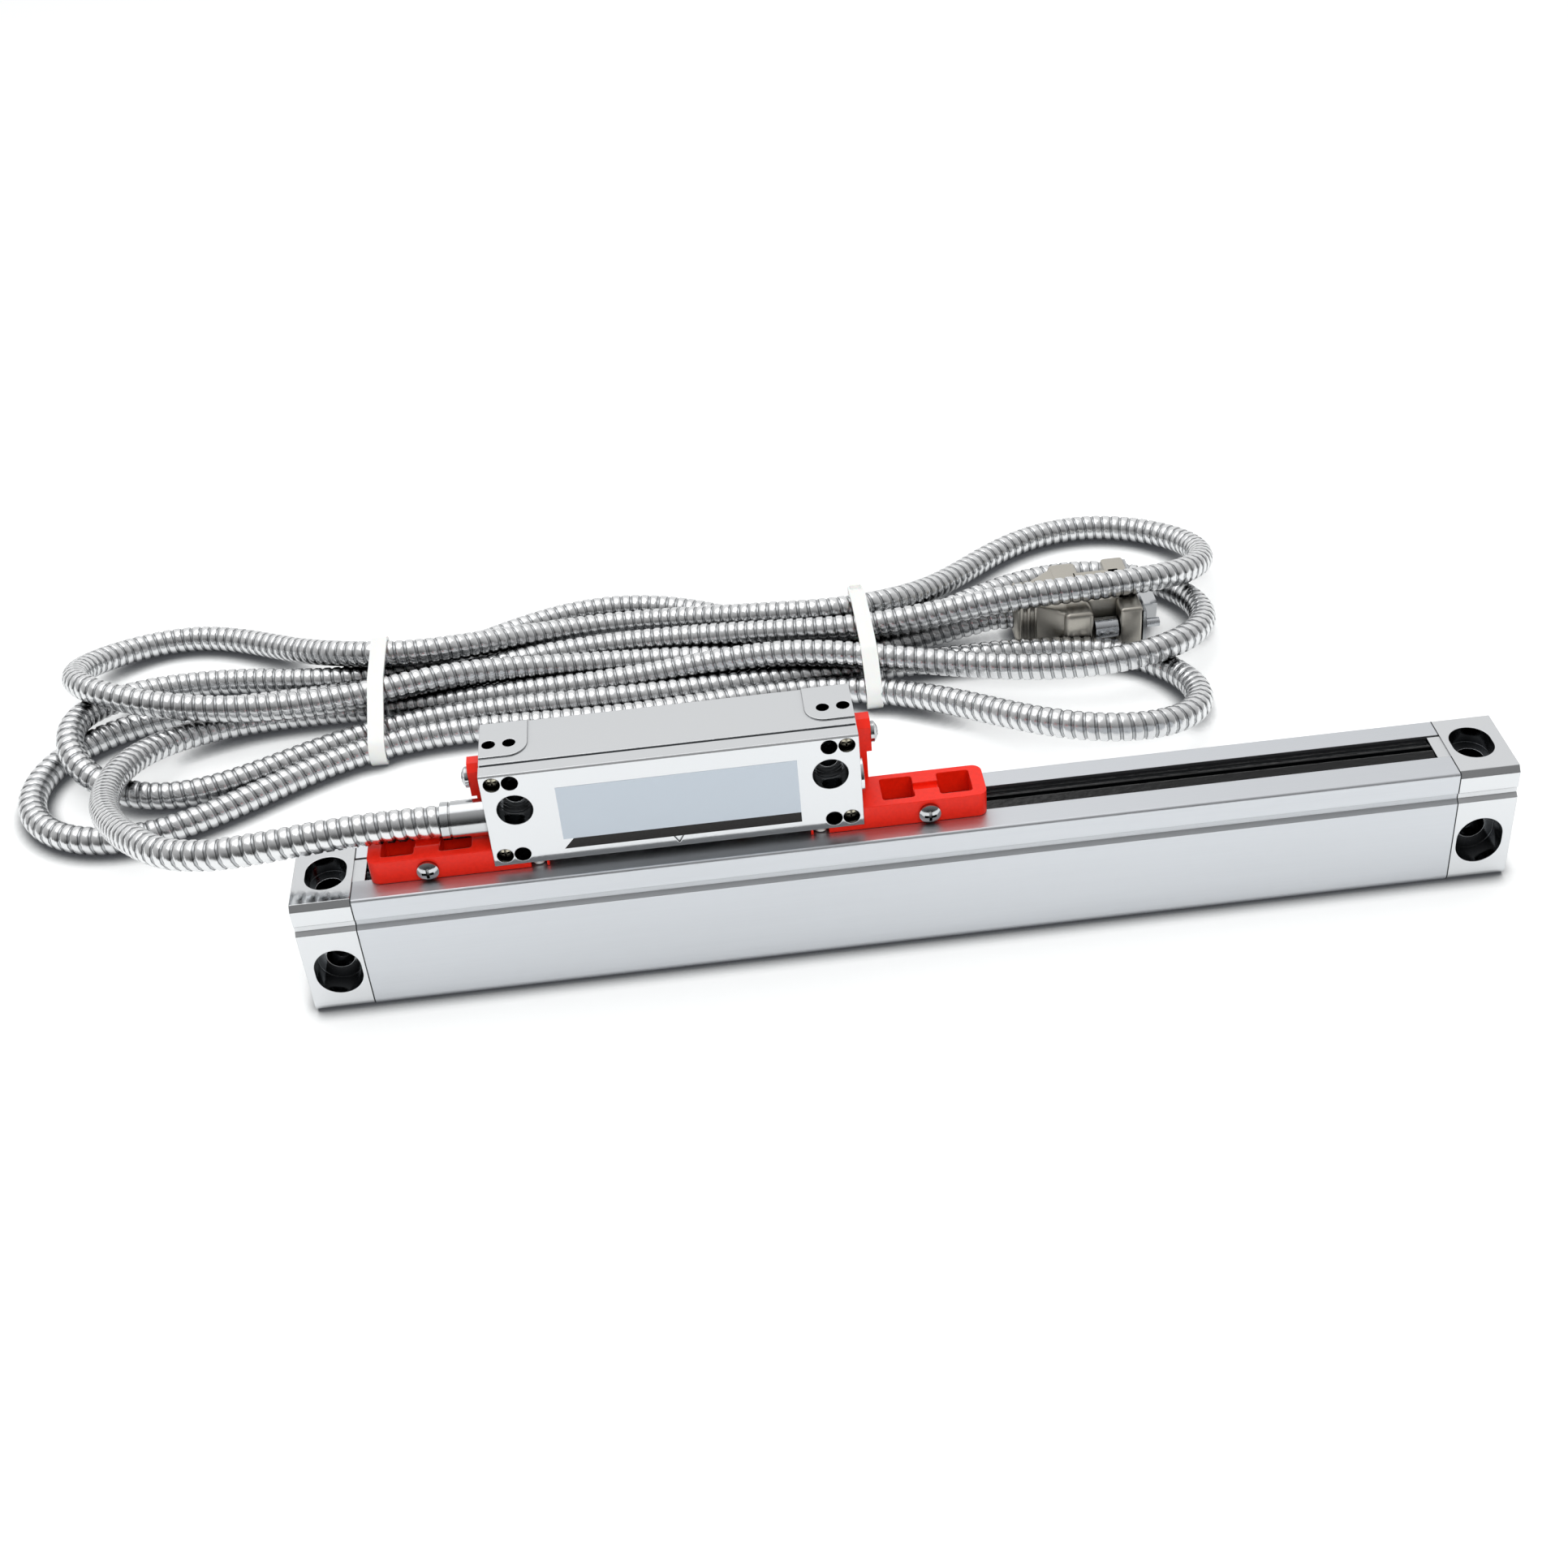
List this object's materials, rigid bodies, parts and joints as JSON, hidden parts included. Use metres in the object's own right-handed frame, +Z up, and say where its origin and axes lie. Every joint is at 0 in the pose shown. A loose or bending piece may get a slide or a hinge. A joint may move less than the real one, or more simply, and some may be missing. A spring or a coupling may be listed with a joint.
{
  "type": "linear encoder",
  "caption": "Sealed linear encoder: silver scale housing, sliding reading head with red transit brackets, and an armoured cable in a tied hank with its connector",
  "frame": {"origin": "middle of the scale housing's bottom face", "axes": "X along the scale to the right, Y to its rear mounting face, Z up"},
  "size_m": [0.4055, 0.1891, 0.0649],
  "materials": {
    "anodised_aluminium": "satin",
    "chromed_zinc": "bright",
    "steel": "bright",
    "spring_steel": "satin",
    "yellow_zinc": "satin",
    "nickel": "bright",
    "gasket_rubber": "matt",
    "lip_rubber": "glossy",
    "bed_rubber": "matt",
    "scale_glass": "clear",
    "carriage_plastic": "matt",
    "lamp_epoxy": "clear",
    "circuit_board": "satin",
    "polyimide": "satin",
    "black_plastic": "satin",
    "white_plastic": "satin",
    "red_plastic": "satin",
    "stainless_hose": "bright",
    "nylon": "satin",
    "plated_hood": "satin"
  },
  "bodies": {
    "scale": {"housing_profile": "anodised_aluminium", "end_cap_left": "chromed_zinc", "end_cap_right": "chromed_zinc", "cap_gasket_left": "gasket_rubber", "cap_gasket_right": "gasket_rubber", "cap_screws": "steel", "seal_lip_front": "lip_rubber", "seal_lip_rear": "lip_rubber", "glass_scale": "scale_glass", "glass_bed": "bed_rubber"},
    "reading_head": {"scanning_carriage": "carriage_plastic", "roller_pins": "steel", "lamp": "lamp_epoxy", "index_grating": "scale_glass", "photo_detector": "black_plastic", "detector_board": "circuit_board", "flat_lead": "polyimide", "pressure_spring": "spring_steel", "coupling_blade": "spring_steel", "blade_screws": "steel", "head_body": "chromed_zinc", "head_gasket": "gasket_rubber", "head_cover": "chromed_zinc", "cover_screws": "yellow_zinc", "signal_board": "circuit_board", "board_screws": "steel", "gap_pads": "white_plastic", "transit_bracket_left": "red_plastic", "transit_bracket_right": "red_plastic", "bracket_arm_screws": "nickel", "bracket_foot_screws": "nickel", "blanking_plug": "chromed_zinc", "cable_ferrule": "nickel", "cable_lead": "stainless_hose", "cable_hank": "stainless_hose", "cable_tie_left": "nylon", "cable_tie_right": "nylon", "connector_hood": "plated_hood", "connector_shell": "nickel", "connector_insert": "black_plastic", "connector_thumbscrews": "steel"},
    "edge_roller_left_body": {"edge_roller_left": "steel"},
    "edge_roller_right_body": {"edge_roller_right": "steel"},
    "face_roller_left_body": {"face_roller_left": "steel"},
    "face_roller_right_body": {"face_roller_right": "steel"}
  },
  "joints": [
    {"name": "head_travel", "type": "slide", "parent": "scale", "child": "reading_head", "axis": [1, 0, 0], "range_m": [-0.0278, 0.1422]},
    {"name": "edge_roller_left_turn", "type": "hinge", "parent": "reading_head", "child": "edge_roller_left_body", "pos_m": [-0.0792, 0.0025, 0.023], "axis": [0, 1, 0], "continuous": true},
    {"name": "edge_roller_right_turn", "type": "hinge", "parent": "reading_head", "child": "edge_roller_right_body", "pos_m": [-0.0352, 0.0025, 0.023], "axis": [0, 1, 0], "continuous": true},
    {"name": "face_roller_left_turn", "type": "hinge", "parent": "reading_head", "child": "face_roller_left_body", "pos_m": [-0.0812, -0.0022, 0.0162], "axis": [0, 0, 1], "continuous": true},
    {"name": "face_roller_right_turn", "type": "hinge", "parent": "reading_head", "child": "face_roller_right_body", "pos_m": [-0.0332, -0.0022, 0.0162], "axis": [0, 0, 1], "continuous": true}
  ],
  "couplings": [
    {"joint": "edge_roller_left_turn", "follows": "head_travel", "rad_per_m": 333.33},
    {"joint": "edge_roller_right_turn", "follows": "head_travel", "rad_per_m": 333.33},
    {"joint": "face_roller_left_turn", "follows": "head_travel", "rad_per_m": 333.33},
    {"joint": "face_roller_right_turn", "follows": "head_travel", "rad_per_m": 333.33}
  ]
}
